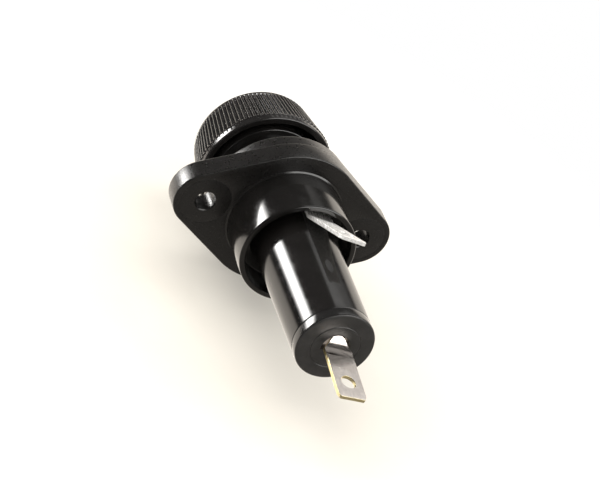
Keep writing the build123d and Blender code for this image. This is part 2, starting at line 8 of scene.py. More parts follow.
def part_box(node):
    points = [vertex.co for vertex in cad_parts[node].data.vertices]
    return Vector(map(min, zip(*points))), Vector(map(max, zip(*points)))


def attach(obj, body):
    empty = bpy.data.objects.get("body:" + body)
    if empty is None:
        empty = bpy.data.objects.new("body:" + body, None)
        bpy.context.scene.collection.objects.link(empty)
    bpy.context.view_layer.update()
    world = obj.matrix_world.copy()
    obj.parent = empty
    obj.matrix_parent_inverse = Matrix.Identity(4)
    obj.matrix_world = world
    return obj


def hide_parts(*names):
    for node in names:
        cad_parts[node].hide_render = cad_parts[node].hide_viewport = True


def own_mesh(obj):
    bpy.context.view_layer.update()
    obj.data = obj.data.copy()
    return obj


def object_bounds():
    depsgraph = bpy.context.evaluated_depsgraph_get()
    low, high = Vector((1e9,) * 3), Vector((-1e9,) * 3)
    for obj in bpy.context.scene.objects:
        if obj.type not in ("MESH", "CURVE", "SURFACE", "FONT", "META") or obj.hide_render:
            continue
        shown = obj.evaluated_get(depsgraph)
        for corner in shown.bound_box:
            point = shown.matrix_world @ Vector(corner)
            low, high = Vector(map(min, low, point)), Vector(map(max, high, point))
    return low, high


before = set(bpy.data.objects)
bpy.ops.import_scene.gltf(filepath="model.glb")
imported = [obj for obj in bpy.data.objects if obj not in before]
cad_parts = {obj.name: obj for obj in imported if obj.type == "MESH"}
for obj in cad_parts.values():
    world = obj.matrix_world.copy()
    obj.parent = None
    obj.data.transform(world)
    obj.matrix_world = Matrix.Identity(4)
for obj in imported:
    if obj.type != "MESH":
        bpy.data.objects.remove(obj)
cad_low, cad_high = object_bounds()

# Looks for the cartridge fuse holder. Sizes are in millimetres and are turned into metres when a mesh
# is made. The barrel's axis is Y, with the knob at -Y, and the panel lies on y = 0. A clock angle is
# measured about Y from +Z towards +X. An outline is a list of (radius, y, fillet) corners.

MM = 0.001


def box_mm(node):
    """Lowest and highest corner of a CAD node at rest, in millimetres."""
    low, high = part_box(node)
    return low / MM, high / MM


# ---- Sizes read from the frame ----

HOUSING_LOW, HOUSING_HIGH = box_mm("housing")
KNOB_LOW, KNOB_HIGH = box_mm("knob_cap")
PLUG_LOW, PLUG_HIGH = box_mm("barrel_end_plug")
SLEEVE_LOW, SLEEVE_HIGH = box_mm("bayonet_sleeve")
CUP_LOW, CUP_HIGH = box_mm("carrier_cup")
FACE_LOW, FACE_HIGH = box_mm("knob_face_disc")
REAR_TERMINAL_LOW, REAR_TERMINAL_HIGH = box_mm("rear_terminal")

# ---- Driving sizes that the frame's boxes don't hold ----

# Flange
HOLE_SPACING = 38.1
HOLE_RADIUS = 2.2
FLANGE_THICKNESS = 5.2
FLANGE_END_RADIUS = 7.0
FLANGE_MIDDLE_RADIUS = HOUSING_HIGH.z
PAD_GROOVE_RADIUS = 5.8

# Boss, collar and barrel
BOSS_RADIUS = 16.3
COLLAR_RADIUS = 12.7
COLLAR_WALL = 1.3
COLLAR_LENGTH = 11.8
RECESS_FLOOR = 5.0
BARREL_ROOT_RADIUS = 8.7
BARREL_END_RADIUS = PLUG_HIGH.x
FUSE_BORE_RADIUS = 5.6

# Mouth and bayonet
MOUTH_RADIUS = 9.7
MOUTH_FLOOR = 3.0
SLOT_RADIUS = 11.1
SLOT_HALF_ANGLE = 20.6
LUG_HALF_ANGLE = 20.0
LUG_RADIUS = 10.9
LUG_LENGTH = 2.0
CHANNEL_FRONT = -4.6
CHANNEL_REAR = -0.9
SLEEVE_INNER_RADIUS = 8.8
SLEEVE_RADIUS = 9.5

# Terminals
SIDE_TAB_CLOCK = -5.0
SIDE_TAB_OFFSET = 9.25
SIDE_TAB_BEND = 11.1
SIDE_TAB_LEAN = 23.0
SIDE_TAB_LENGTH = 15.4
TAB_WIDTH = 6.35
TAB_THICKNESS = 0.8
TAB_HOLE_RADIUS = 1.6
TAB_HOLE_SETBACK = 4.2
REAR_NECK_WIDTH = 2.6
REAR_NECK_END = 42.2
REAR_NECK_ROOT = 2.6
REAR_NECK_MIDDLE = (40.9, 0.95)
REAR_TAB_BEND = 44.1
REAR_TAB_DROP = 0.9

# End plug and its arched window
PLUG_WALL = 0.9
PLUG_SPIGOT_RADIUS = 5.5
PLUG_SPIGOT_BORE_RADIUS = 4.75
WINDOW_WIDTH = 6.0
WINDOW_LOW = -1.2
WINDOW_SPRING = -0.05
WINDOW_TOP = 2.95

# Knob
FLUTES = 90
FLUTE_DEPTH = 0.45
SKIRT_HEIGHT = 1.6
RIM_HEIGHT = 1.2
KNOB_WALL = 1.7
KNOB_FRONT_RADIUS = 13.7
HUB_RADIUS = 11.9
HUB_BORE_RADIUS = 10.8
WEB_THICKNESS = 2.0

# Carrier and springs
STUD_RADIUS = 1.5
KNOB_SPRING_WIRE = 0.9
REAR_SPRING_WIRE = 0.6

# Mesh fineness, and how far a cutting tool passes the faces that it opens
ROUND_STEPS = 256
FILLET_STEPS = 5
STEPS_PER_FLUTE = 8
OVERSHOOT = 1.0


# ---- Mesh helpers ----


def rounded(corners):
    """Outline points from (a, b, fillet) corners, with an arc in place of each corner that has a fillet."""
    points = []
    count = len(corners)
    for i, (a, b, fillet) in enumerate(corners):
        here = Vector((a, b))
        if fillet == 0:
            points.append(here)
            continue
        before = Vector(corners[i - 1][:2]) - here
        after = Vector(corners[(i + 1) % count][:2]) - here
        half = before.angle(after) / 2
        reach = fillet / math.tan(half)
        start = here + before.normalized() * reach
        end = here + after.normalized() * reach
        centre = here + (before.normalized() + after.normalized()).normalized() * (fillet / math.sin(half))
        sweep = (start - centre).angle_signed(end - centre)
        for step in range(FILLET_STEPS + 1):
            turn = Matrix.Rotation(-sweep * step / FILLET_STEPS, 2)
            points.append(centre + turn @ (start - centre))
    return points


def rounded_box(low, high, fillet):
    """Rectangle outline between two corners, with rounded corners."""
    corners = [low, (high[0], low[1]), high, (low[0], high[1])]
    return rounded([(a, b, fillet) for a, b in corners])


def arc_points(start, middle, end, steps):
    """Points on the circle through three points."""
    ax, ay = start
    bx, by = middle
    cx, cy = end
    d = 2 * (ax * (by - cy) + bx * (cy - ay) + cx * (ay - by))
    a2, b2, c2 = ax * ax + ay * ay, bx * bx + by * by, cx * cx + cy * cy
    centre = Vector((
        (a2 * (by - cy) + b2 * (cy - ay) + c2 * (ay - by)) / d,
        (a2 * (cx - bx) + b2 * (ax - cx) + c2 * (bx - ax)) / d,
    ))
    first = Vector(start) - centre
    sweep = first.angle_signed(Vector(end) - centre)
    return [centre + Matrix.Rotation(-sweep * i / steps, 2) @ first for i in range(steps + 1)]


def new_object(name, bm, sharp_angle=35):
    """Object from a bmesh in millimetres, smooth except at edges sharper than sharp_angle degrees."""
    bmesh.ops.remove_doubles(bm, verts=bm.verts, dist=1e-5)
    bmesh.ops.recalc_face_normals(bm, faces=bm.faces)
    bmesh.ops.scale(bm, vec=(MM, MM, MM), verts=bm.verts)
    mesh = bpy.data.meshes.new(name)
    bm.to_mesh(mesh)
    bm.free()
    mesh.shade_smooth()
    mesh.set_sharp_from_angle(angle=math.radians(sharp_angle))
    piece = bpy.data.objects.new(name, mesh)
    bpy.context.scene.collection.objects.link(piece)
    return piece


def lathe_bmesh(outline, steps=ROUND_STEPS, relief=None, clock_from=0.0, clock_to=360.0):
    """Closed surface of revolution about Y. relief(point index, clock) is taken off the radius."""
    bm = bmesh.new()
    whole = clock_to - clock_from >= 360
    turns = steps if whole else steps + 1
    rings = []
    for index, point in enumerate(outline):
        if point[0] < 1e-6:
            rings.append([bm.verts.new((0, point[1], 0))] * turns)
            continue
        ring = []
        for turn in range(turns):
            clock = math.radians(clock_from + (clock_to - clock_from) * turn / steps)
            radius = point[0] - (relief(index, clock) if relief else 0)
            ring.append(bm.verts.new((radius * math.sin(clock), point[1], radius * math.cos(clock))))
        rings.append(ring)
    for index, ring in enumerate(rings):
        following = rings[(index + 1) % len(rings)]
        for turn in range(turns if whole else turns - 1):
            other = (turn + 1) % turns
            corners = [ring[turn], ring[other], following[other], following[turn]]
            distinct = list(dict.fromkeys(corners))
            if len(distinct) > 2:
                bm.faces.new(distinct)
    if not whole:
        bm.faces.new([ring[0] for ring in rings])
        bm.faces.new([ring[-1] for ring in reversed(rings)])
    return bm


def lathe(name, corners, relief=None, steps=ROUND_STEPS):
    """Piece turned about Y from an outline of (radius, y, fillet) corners."""
    return new_object(name, lathe_bmesh(rounded(corners), steps, relief))


def wedge(name, inner, outer, front, rear, clock_from, clock_to, steps):
    """Part of a round tube between two clock angles."""
    outline = [Vector((inner, front)), Vector((outer, front)), Vector((outer, rear)), Vector((inner, rear))]
    return new_object(name, lathe_bmesh(outline, steps, None, clock_from, clock_to))


def prism(name, points, low, high, axis="Y"):
    """Solid with a flat outline of (a, b) points, drawn in XZ and stretched along Y, or in XY along Z."""
    bm = bmesh.new()
    place = {"Y": lambda a, b, c: (a, c, b), "Z": lambda a, b, c: (a, b, c)}[axis]
    bottom = [bm.verts.new(place(a, b, low)) for a, b in points]
    top = [bm.verts.new(place(a, b, high)) for a, b in points]
    bm.faces.new(bottom)
    bm.faces.new(list(reversed(top)))
    join_rings(bm, [bottom, top])
    return new_object(name, bm)


def join_rings(bm, rings):
    """Joins each ring of vertices to the next one."""
    for ring, following in zip(rings, rings[1:]):
        for i in range(len(ring)):
            j = (i + 1) % len(ring)
            bm.faces.new([ring[i], ring[j], following[j], following[i]])


def skin(bm, rings):
    """Joins rings of vertices one to the next, and closes both ends."""
    join_rings(bm, rings)
    bm.faces.new(rings[0])
    bm.faces.new(list(reversed(rings[-1])))


def bake(piece):
    """Applies a piece's modifiers to its mesh."""
    bpy.context.view_layer.update()
    evaluated = piece.evaluated_get(bpy.context.evaluated_depsgraph_get())
    mesh = bpy.data.meshes.new_from_object(evaluated)
    piece.modifiers.clear()
    piece.data = mesh
    return piece


def combine(piece, other, operation):
    """Boolean of two closed pieces, applied, with the second one removed."""
    boolean = piece.modifiers.new("join", "BOOLEAN")
    boolean.operation = operation
    boolean.solver = "EXACT"
    boolean.object = other
    bake(piece)
    bpy.data.objects.remove(other)
    return piece


def cut(piece, *tools):
    """Takes closed tool pieces away from a piece."""
    for tool in tools:
        combine(piece, tool, "DIFFERENCE")
    return piece


def merge_flat_faces(piece):
    """Joins faces that lie in one plane, so that a bevel doesn't run into stray edges."""
    flat_angle = math.radians(0.5)
    bm = bmesh.new()
    bm.from_mesh(piece.data)
    bmesh.ops.dissolve_limit(bm, angle_limit=flat_angle, verts=bm.verts, edges=bm.edges)
    bm.to_mesh(piece.data)
    bm.free()


def tidy_shading(piece, angle=32):
    """Smooth shading, except at edges sharper than angle degrees."""
    piece.data.shade_smooth()
    piece.data.set_sharp_from_angle(angle=math.radians(angle))
    return piece


def soften(piece, width, angle=40, segments=2):
    """Rounds a piece's sharp edges by width millimetres, then shades it."""
    bevel = piece.modifiers.new("soften", "BEVEL")
    bevel.width = width * MM
    bevel.segments = segments
    bevel.limit_method = "ANGLE"
    bevel.angle_limit = math.radians(angle)
    bevel.use_clamp_overlap = True
    bake(piece)
    return tidy_shading(piece, angle)


def keep_faces_flat(piece):
    """Lets large faces set the shading of the small rounded edges beside them."""
    weighted = piece.modifiers.new("flat faces", "WEIGHTED_NORMAL")
    weighted.keep_sharp = True
    weighted.weight = 80  # above 50, larger faces count for more
    return bake(piece)


def turn_clock(piece, clock):
    """Turns a piece's mesh about Y by a clock angle."""
    piece.data.transform(Matrix.Rotation(math.radians(clock), 4, "Y"))
    return piece


def stand_in(piece, node, body):
    """Shows a finished piece in a CAD node's place, and lets it ride on that node's body."""
    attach(piece, body)
    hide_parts(node)
    return piece


# ---- Housing ----


def diamond(inset):
    """Flange outline, inset from its edge: two small ends and a wide middle, with straight sides."""
    steps = 40
    tangent = math.acos((FLANGE_MIDDLE_RADIUS - FLANGE_END_RADIUS) / (HOLE_SPACING / 2))
    arcs = [
        (HOLE_SPACING / 2, FLANGE_END_RADIUS, -tangent, tangent),
        (0, FLANGE_MIDDLE_RADIUS, tangent, math.pi - tangent),
        (-HOLE_SPACING / 2, FLANGE_END_RADIUS, math.pi - tangent, math.pi + tangent),
        (0, FLANGE_MIDDLE_RADIUS, math.pi + tangent, 2 * math.pi - tangent),
    ]
    points = []
    for centre, radius, start, end in arcs:
        reach = radius - inset
        for step in range(steps + 1):
            angle = start + (end - start) * step / steps
            points.append((centre + reach * math.cos(angle), reach * math.sin(angle)))
    return points


def flange_blank():
    """Flange without its holes; its edge towards the knob is rounder than the one at the panel."""
    front_round = 0.55
    rear_round = 0.35
    bm = bmesh.new()

    def rounded_edge(face_y, inward, radius):
        """Rings that run round one edge, from the flange's flat face to its side."""
        rings = []
        for step in range(FILLET_STEPS + 1):
            angle = math.pi / 2 * step / FILLET_STEPS
            y = face_y + inward * radius * (1 - math.sin(angle))
            inset = radius * (1 - math.cos(angle))
            rings.append([bm.verts.new((x, y, z)) for x, z in diamond(inset)])
        return rings

    rings = rounded_edge(-FLANGE_THICKNESS, 1, front_round)
    rings.reverse()
    rings += rounded_edge(0, -1, rear_round)
    bm.faces.new(rings[0])
    bm.faces.new(rings[-1])
    join_rings(bm, rings)
    return new_object("flange", bm)


def screw_hole_outline():
    """Half section of what a screw hole with eased edges takes away."""
    ease = 0.25
    edge_round = 0.3
    wide = HOLE_RADIUS + ease
    return [
        (0, -FLANGE_THICKNESS - OVERSHOOT, 0),
        (wide, -FLANGE_THICKNESS - OVERSHOOT, 0),
        (wide, -FLANGE_THICKNESS, 0),
        (HOLE_RADIUS, -FLANGE_THICKNESS + ease, edge_round),
        (HOLE_RADIUS, -ease, edge_round),
        (wide, 0, 0),
        (wide, OVERSHOOT, 0),
        (0, OVERSHOOT, 0),
    ]


def pad_groove_outline():
    """Half section of the shallow ring groove round a screw hole."""
    width = 0.3
    depth = 0.06
    inner = PAD_GROOVE_RADIUS - width
    return [
        (inner, OVERSHOOT, 0),
        (inner, 0, 0),
        (PAD_GROOVE_RADIUS - width / 2, -depth, 0),
        (PAD_GROOVE_RADIUS, 0, 0),
        (PAD_GROOVE_RADIUS, OVERSHOOT, 0),
    ]


def flange_plate():
    """Flange with two screw holes and a shallow ring groove round each."""
    plate = flange_blank()
    for side in (-1, 1):
        for corners in (screw_hole_outline(), pad_groove_outline()):
            tool = lathe("tool", corners, steps=96)
            tool.data.transform(Matrix.Translation((side * HOLE_SPACING / 2 * MM, 0, 0)))
            cut(plate, tool)
    return plate


def housing_core():
    """Boss, collar and barrel turned in one outline, open from the mouth to the end of the barrel."""
    inside_plate = -FLANGE_THICKNESS / 2
    panel_face = 0.03
    collar_root = 0.35
    collar_inner = COLLAR_RADIUS - COLLAR_WALL
    corners = [
        (MOUTH_RADIUS, HOUSING_LOW.y, 0.3),
        (BOSS_RADIUS, HOUSING_LOW.y, 0.7),
        (BOSS_RADIUS, inside_plate, 0),
        (COLLAR_RADIUS + collar_root, inside_plate, 0),
        (COLLAR_RADIUS + collar_root, panel_face, 0),
        (COLLAR_RADIUS, collar_root, 0.3),
        (COLLAR_RADIUS, COLLAR_LENGTH, 0.45),
        (collar_inner, COLLAR_LENGTH, 0.35),
        (collar_inner, RECESS_FLOOR, 0.4),
        (BARREL_ROOT_RADIUS, RECESS_FLOOR, 0.3),
        (BARREL_END_RADIUS, HOUSING_HIGH.y, 0.18),
        (FUSE_BORE_RADIUS, HOUSING_HIGH.y, 0.1),
        (FUSE_BORE_RADIUS, MOUTH_FLOOR, 0.2),
        (MOUTH_RADIUS, MOUTH_FLOOR, 0.2),
    ]
    return lathe("housing_moulding", corners)


def bayonet_cuts():
    """Entry slots and quarter-turn channels for the sleeve's two lugs."""
    inner = MOUTH_RADIUS - OVERSHOOT
    # The channel's faces are kept a little off the slot's, so that the boolean meets no shared planes.
    apart = 0.01
    turned = 0.1
    tools = []
    for start in (SIDE_TAB_CLOCK, SIDE_TAB_CLOCK + 180):
        low = start - SLOT_HALF_ANGLE
        high = start + SLOT_HALF_ANGLE
        slot_front = HOUSING_LOW.y - OVERSHOOT
        tools.append(wedge("tool", inner, SLOT_RADIUS, slot_front, CHANNEL_REAR, low, high, 24))
        channel_radius = SLOT_RADIUS - apart
        channel_rear = CHANNEL_REAR + apart
        tools.append(wedge("tool", inner - turned, channel_radius, CHANNEL_FRONT, channel_rear,
                           low + turned, high + 90, 72))
    return tools


def tab_slot():
    """Slot through the web for the side terminal's strip."""
    gap = 0.1
    inner_gap = 0.05
    front = CHANNEL_REAR - 0.02
    half = TAB_WIDTH / 2 + gap
    inner = SIDE_TAB_OFFSET - TAB_THICKNESS / 2 - inner_gap
    outer = SIDE_TAB_OFFSET + TAB_THICKNESS / 2 + gap
    points = [(-half, inner), (half, inner), (half, outer), (-half, outer)]
    return turn_clock(prism("tool", points, front, RECESS_FLOOR + OVERSHOOT), SIDE_TAB_CLOCK)


def make_housing():
    """The black moulding that everything else sits in."""
    housing = housing_core()
    plate = flange_plate()
    mouth_front = HOUSING_LOW.y - OVERSHOOT
    mouth_reach = MOUTH_RADIUS + OVERSHOOT
    mouth = [
        (0, mouth_front, 0),
        (mouth_reach, mouth_front, 0),
        (mouth_reach, OVERSHOOT, 0),
        (0, OVERSHOOT, 0),
    ]
    cut(plate, lathe("tool", mouth))
    combine(housing, plate, "UNION")
    cut(housing, *bayonet_cuts())
    cut(housing, tab_slot())
    tidy_shading(housing)
    return stand_in(housing, "housing", "housing")


# ---- Knob ----


def knob_outline():
    """Corners of the knob's whole section, and the y span that carries flutes."""
    rear = KNOB_HIGH.y
    front = KNOB_LOW.y
    skirt_front = rear - SKIRT_HEIGHT
    rim_rear = front + RIM_HEIGHT
    rear_radius = KNOB_HIGH.z
    skirt_radius = rear_radius - FLUTE_DEPTH / 2
    rim_radius = KNOB_FRONT_RADIUS - FLUTE_DEPTH / 2
    flute_step = 0.1
    sleeve_seat_depth = 1.0
    web_rear = SLEEVE_LOW.y + sleeve_seat_depth
    web_front = web_rear - WEB_THICKNESS
    hollow_depth = 10.5
    hollow_front = rear - hollow_depth
    shaft_gap = 0.06
    seat_gap = 0.05
    corners = [
        (STUD_RADIUS + shaft_gap, web_rear, 0),
        (SLEEVE_INNER_RADIUS - seat_gap, web_rear, 0),
        (SLEEVE_INNER_RADIUS - seat_gap, SLEEVE_LOW.y - seat_gap, 0),
        (SLEEVE_RADIUS + seat_gap, SLEEVE_LOW.y - seat_gap, 0),
        (SLEEVE_RADIUS + seat_gap, web_rear, 0.04),
        (HUB_RADIUS, web_rear, 0.3),
        (HUB_RADIUS, hollow_front, 0.4),
        (KNOB_FRONT_RADIUS - KNOB_WALL + FLUTE_DEPTH, hollow_front, 0.1),
        (rear_radius - KNOB_WALL, rear, 0.3),
        (skirt_radius, rear, 0.4),
        (skirt_radius, skirt_front + flute_step, 0),
        (rear_radius, skirt_front, 0),
        (KNOB_FRONT_RADIUS, rim_rear, 0),
        (rim_radius, rim_rear - flute_step, 0),
        (rim_radius, front, 0.9),
        (FACE_HIGH.x + seat_gap, front, 0.2),
        (FACE_HIGH.x + seat_gap, FACE_HIGH.y + seat_gap, 0),
        (HUB_BORE_RADIUS, FACE_HIGH.y + seat_gap, 0),
        (HUB_BORE_RADIUS, web_front, 0.3),
        (STUD_RADIUS + shaft_gap, web_front, 0),
    ]
    return corners, rim_rear, skirt_front


def make_knob():
    """Fluted knob: rounded ridges with sharp valleys that get shallower towards the skirt and the rim."""
    corners, rim_rear, skirt_front = knob_outline()
    outline = rounded(corners)
    run_out = 0.35
    end_depth = 0.35
    margin = 0.01
    near_ends = (0.01, 0.02, 0.035, 0.06)
    shares = [*near_ends, 0.2, 0.4, 0.6, 0.8, *(1 - share for share in reversed(near_ends))]
    dense = []
    for index, point in enumerate(outline):
        dense.append(point)
        following = outline[(index + 1) % len(outline)]
        fluted = point[1] > skirt_front - margin and following[1] < rim_rear + margin
        if fluted and point[0] > HUB_RADIUS:
            dense += [point.lerp(following, share) for share in shares]

    def relief(index, clock):
        radius, y = dense[index]
        if radius < HUB_RADIUS + 1 or not rim_rear - margin < y < skirt_front + margin:
            return 0
        inside = min(y - rim_rear, skirt_front - y)
        share = min(1.0, max(0.0, inside) / run_out)
        phase = clock / (2 * math.pi) * FLUTES
        ridge = abs(math.sin(math.pi * phase))
        return FLUTE_DEPTH * ((1 - ridge) * (end_depth + (1 - end_depth) * share))

    knob = new_object("knob_shell", lathe_bmesh(dense, FLUTES * STEPS_PER_FLUTE, relief), 50)
    return stand_in(knob, "knob_cap", "knob")


def make_knob_face():
    """Disc in the front of the knob, with a coin slot."""
    corners = [
        (0, FACE_LOW.y, 0),
        (FACE_HIGH.x, FACE_LOW.y, 0.25),
        (FACE_HIGH.x, FACE_HIGH.y, 0.1),
        (0, FACE_HIGH.y, 0),
    ]
    disc = lathe("knob_face", corners)
    half_length = 7.0
    half_width = 0.8
    end_round = 0.7
    depth = 0.9
    coin_slot = rounded_box((-half_length, -half_width), (half_length, half_width), end_round)
    cut(disc, prism("tool", coin_slot, FACE_LOW.y - OVERSHOOT, FACE_LOW.y + depth))
    merge_flat_faces(disc)
    soften(disc, 0.08)
    keep_faces_flat(disc)
    return stand_in(disc, "knob_face_disc", "knob")


def make_sleeve():
    """Bayonet sleeve with its two lugs."""
    corners = [
        (SLEEVE_INNER_RADIUS, SLEEVE_LOW.y, 0.1),
        (SLEEVE_RADIUS, SLEEVE_LOW.y, 0.1),
        (SLEEVE_RADIUS, SLEEVE_HIGH.y, 0.25),
        (SLEEVE_INNER_RADIUS, SLEEVE_HIGH.y, 0.15),
    ]
    sleeve = lathe("bayonet_neck", corners)
    lug_setback = 2.0
    lug_rear = SLEEVE_HIGH.y - lug_setback
    lug_root = (SLEEVE_INNER_RADIUS + SLEEVE_RADIUS) / 2
    for start in (SIDE_TAB_CLOCK, SIDE_TAB_CLOCK + 180):
        lug = wedge("lug", lug_root, LUG_RADIUS, lug_rear - LUG_LENGTH, lug_rear,
                    start - LUG_HALF_ANGLE, start + LUG_HALF_ANGLE, 24)
        soften(lug, 0.15)
        combine(sleeve, lug, "UNION")
    tidy_shading(sleeve)
    return stand_in(sleeve, "bayonet_sleeve", "knob")


# ---- Plug and terminals ----


def make_plug():
    """End plug with a parting line, a pocket for the terminal's disc, a faint ring and an arched window."""
    spigot_length = 2.05
    seam = PLUG_LOW.y + spigot_length
    wall_front = PLUG_HIGH.y - PLUG_WALL
    ring = 5.2
    ring_width = 0.28
    ring_depth = 0.13
    ring_round = 0.05
    corners = [
        (0, wall_front, 0),
        (PLUG_SPIGOT_BORE_RADIUS, wall_front, 0),
        (PLUG_SPIGOT_BORE_RADIUS, PLUG_LOW.y, 0.1),
        (PLUG_SPIGOT_RADIUS, PLUG_LOW.y, 0.2),
        (PLUG_SPIGOT_RADIUS, seam, 0),
        (BARREL_END_RADIUS, seam, 0.18),
        (BARREL_END_RADIUS, PLUG_HIGH.y, 0.5),
        (ring + ring_width / 2, PLUG_HIGH.y, ring_round),
        (ring, PLUG_HIGH.y - ring_depth, ring_round),
        (ring - ring_width / 2, PLUG_HIGH.y, ring_round),
        (0, PLUG_HIGH.y, 0),
    ]
    plug = lathe("end_plug", corners)
    half = WINDOW_WIDTH / 2
    arch = arc_points((half, WINDOW_SPRING), (0, WINDOW_TOP), (-half, WINDOW_SPRING), 24)
    window = [(half, WINDOW_LOW)] + arch + [(-half, WINDOW_LOW)]
    cut(plug, prism("tool", window, wall_front - OVERSHOOT, PLUG_HIGH.y + OVERSHOOT))
    soften(plug, 0.1, 50)
    keep_faces_flat(plug)
    return stand_in(plug, "barrel_end_plug", "housing")


def strip_piece(name, path, hole_at, width_at):
    """Metal strip along (y, z) path points, width_at(y) wide, with a chamfered tip and a round hole."""
    tip_chamfer = 0.9
    half_thick = TAB_THICKNESS / 2
    path = [Vector(p) for p in path]
    tip_direction = (path[-1] - path[-2]).normalized()
    path.insert(-1, path[-1] - tip_direction * tip_chamfer)
    bm = bmesh.new()
    rows = []
    for i, point in enumerate(path):
        before = (point - path[i - 1]).normalized() if i else (path[1] - point).normalized()
        after = (path[i + 1] - point).normalized() if i + 1 < len(path) else before
        along = (before + after).normalized()
        normal = Vector((-along.y, along.x))
        stretch = 1 / max(0.5, normal.dot(Vector((-before.y, before.x))))
        half = width_at(point.x) / 2 - (tip_chamfer / 2 if i == len(path) - 1 else 0)
        row = []
        for x, side in ((-half, 1), (half, 1), (half, -1), (-half, -1)):
            corner = point + normal * (half_thick * stretch * side)
            row.append(bm.verts.new((x, corner.x, corner.y)))
        rows.append(row)
    skin(bm, rows)
    piece = new_object(name, bm)
    cut(piece, tab_drill(hole_at, tip_direction))
    return soften(piece, 0.07, 30, 3)


def tab_drill(hole_at, tip_direction):
    """Cutter for a strip's hole, square to the strip where it ends."""
    reach = 2
    outline = [(0, -reach, 0), (TAB_HOLE_RADIUS, -reach, 0), (TAB_HOLE_RADIUS, reach, 0), (0, reach, 0)]
    drill = lathe("tool", outline, steps=48)
    lean = math.atan2(tip_direction.y, tip_direction.x)
    place = Matrix.Translation((0, hole_at[0] * MM, hole_at[1] * MM))
    drill.data.transform(place @ Matrix.Rotation(math.pi / 2 + lean, 4, "X"))
    return drill


def paint_edges(piece, face_material, edge_material, across):
    """Gives a strip's broad faces one material, and its sheared sides, tip and hole walls another.

    across(point) is the direction through the strip's thickness there.
    """
    face_share = 0.8
    mesh = piece.data
    mesh.materials.clear()
    mesh.materials.append(face_material)
    mesh.materials.append(edge_material)
    for polygon in mesh.polygons:
        broad = abs(polygon.normal.dot(across(polygon.center)))
        polygon.material_index = 0 if broad > face_share else 1


def rear_width(y):
    """Width of the rear terminal's strip: a narrow neck in the window, then the full tab."""
    wall_front = PLUG_HIGH.y - PLUG_WALL
    share = min(1, max(0, (y - wall_front) / (REAR_NECK_END - wall_front)))
    return REAR_NECK_WIDTH + (TAB_WIDTH - REAR_NECK_WIDTH) * share


def make_rear_terminal(tin, brass):
    """Disc in the plug's pocket and the bent strip that leaves through the window."""
    disc_front = REAR_TERMINAL_LOW.y
    disc_rear = disc_front + TAB_THICKNESS
    disc_radius = REAR_TERMINAL_HIGH.x
    disc_round = 0.1
    root = (disc_front + TAB_THICKNESS / 2, REAR_NECK_ROOT)
    neck = arc_points(root, REAR_NECK_MIDDLE, (REAR_TAB_BEND, 0), 20)
    end = Vector((REAR_TERMINAL_HIGH.y, -REAR_TAB_DROP))
    back = (neck[-1] - end).normalized()
    strip = strip_piece("rear_tab_strip", neck + [end], end + back * TAB_HOLE_SETBACK, rear_width)
    disc = lathe("disc", [
        (0, disc_front, 0),
        (disc_radius, disc_front, disc_round),
        (disc_radius, disc_rear, disc_round),
        (0, disc_rear, 0),
    ])
    combine(strip, disc, "UNION")
    tidy_shading(strip, 30)
    keep_faces_flat(strip)

    def across(centre):
        here = Vector((centre.y, centre.z)) / MM
        if here.x > REAR_TAB_BEND:
            return Vector((0, -back.y, back.x))
        if here.x <= disc_rear + 0.05:
            return Vector((0, 1, 0))
        nearest = min(range(len(neck) - 1), key=lambda i: (neck[i] - here).length)
        along = (neck[nearest + 1] - neck[nearest]).normalized()
        return Vector((0, -along.y, along.x))

    paint_edges(strip, tin, brass, across)
    return stand_in(strip, "rear_terminal", "housing")


def make_side_terminal():
    """Strip with a foot under the contact ring, which leans out of the collar beside the barrel."""
    foot_inner = 6.1
    foot_gap = 0.025
    foot_y = MOUTH_FLOOR + TAB_THICKNESS / 2 + foot_gap
    lean = math.radians(SIDE_TAB_LEAN)
    heading = Vector((math.cos(lean), math.sin(lean)))
    bend = Vector((SIDE_TAB_BEND, SIDE_TAB_OFFSET))
    end = bend + heading * SIDE_TAB_LENGTH
    path = [(foot_y, foot_inner), (foot_y, SIDE_TAB_OFFSET), bend, end]
    strip = strip_piece("side_tab_strip", path, end - heading * TAB_HOLE_SETBACK, lambda y: TAB_WIDTH)
    keep_faces_flat(strip)
    turn_clock(strip, SIDE_TAB_CLOCK)
    return stand_in(strip, "side_terminal", "housing")


# ---- Carrier, springs and fuse ----


def make_cup():
    """Slit brass cup with a contact flange at its rear end."""
    cup_radius = 5.7
    bore = 5.25
    flange_thickness = 0.8
    bottom_thickness = 0.5
    flange_front = CUP_HIGH.y - flange_thickness
    bottom_rear = CUP_LOW.y + bottom_thickness
    corners = [
        (STUD_RADIUS, CUP_LOW.y, 0),
        (cup_radius, CUP_LOW.y, 0.45),
        (cup_radius, flange_front, 0.2),
        (CUP_HIGH.x, flange_front, 0.15),
        (CUP_HIGH.x, CUP_HIGH.y, 0.25),
        (bore, CUP_HIGH.y, 0.3),
        (bore, bottom_rear, 0.15),
        (STUD_RADIUS, bottom_rear, 0),
    ]
    cup = lathe("cup", corners)
    half_slit = 0.4
    slit_round = 0.35
    slit_front = bottom_rear + 1.5
    slit_rear = flange_front - 1.0
    slit_outline = rounded_box((-half_slit, slit_front), (half_slit, slit_rear), slit_round)
    for turn in range(4):
        slit = prism("tool", slit_outline, bore - OVERSHOOT, cup_radius + OVERSHOOT, "Z")
        cut(cup, turn_clock(slit, 45 + 90 * turn))
    tidy_shading(cup)
    return stand_in(cup, "carrier_cup", "carrier")


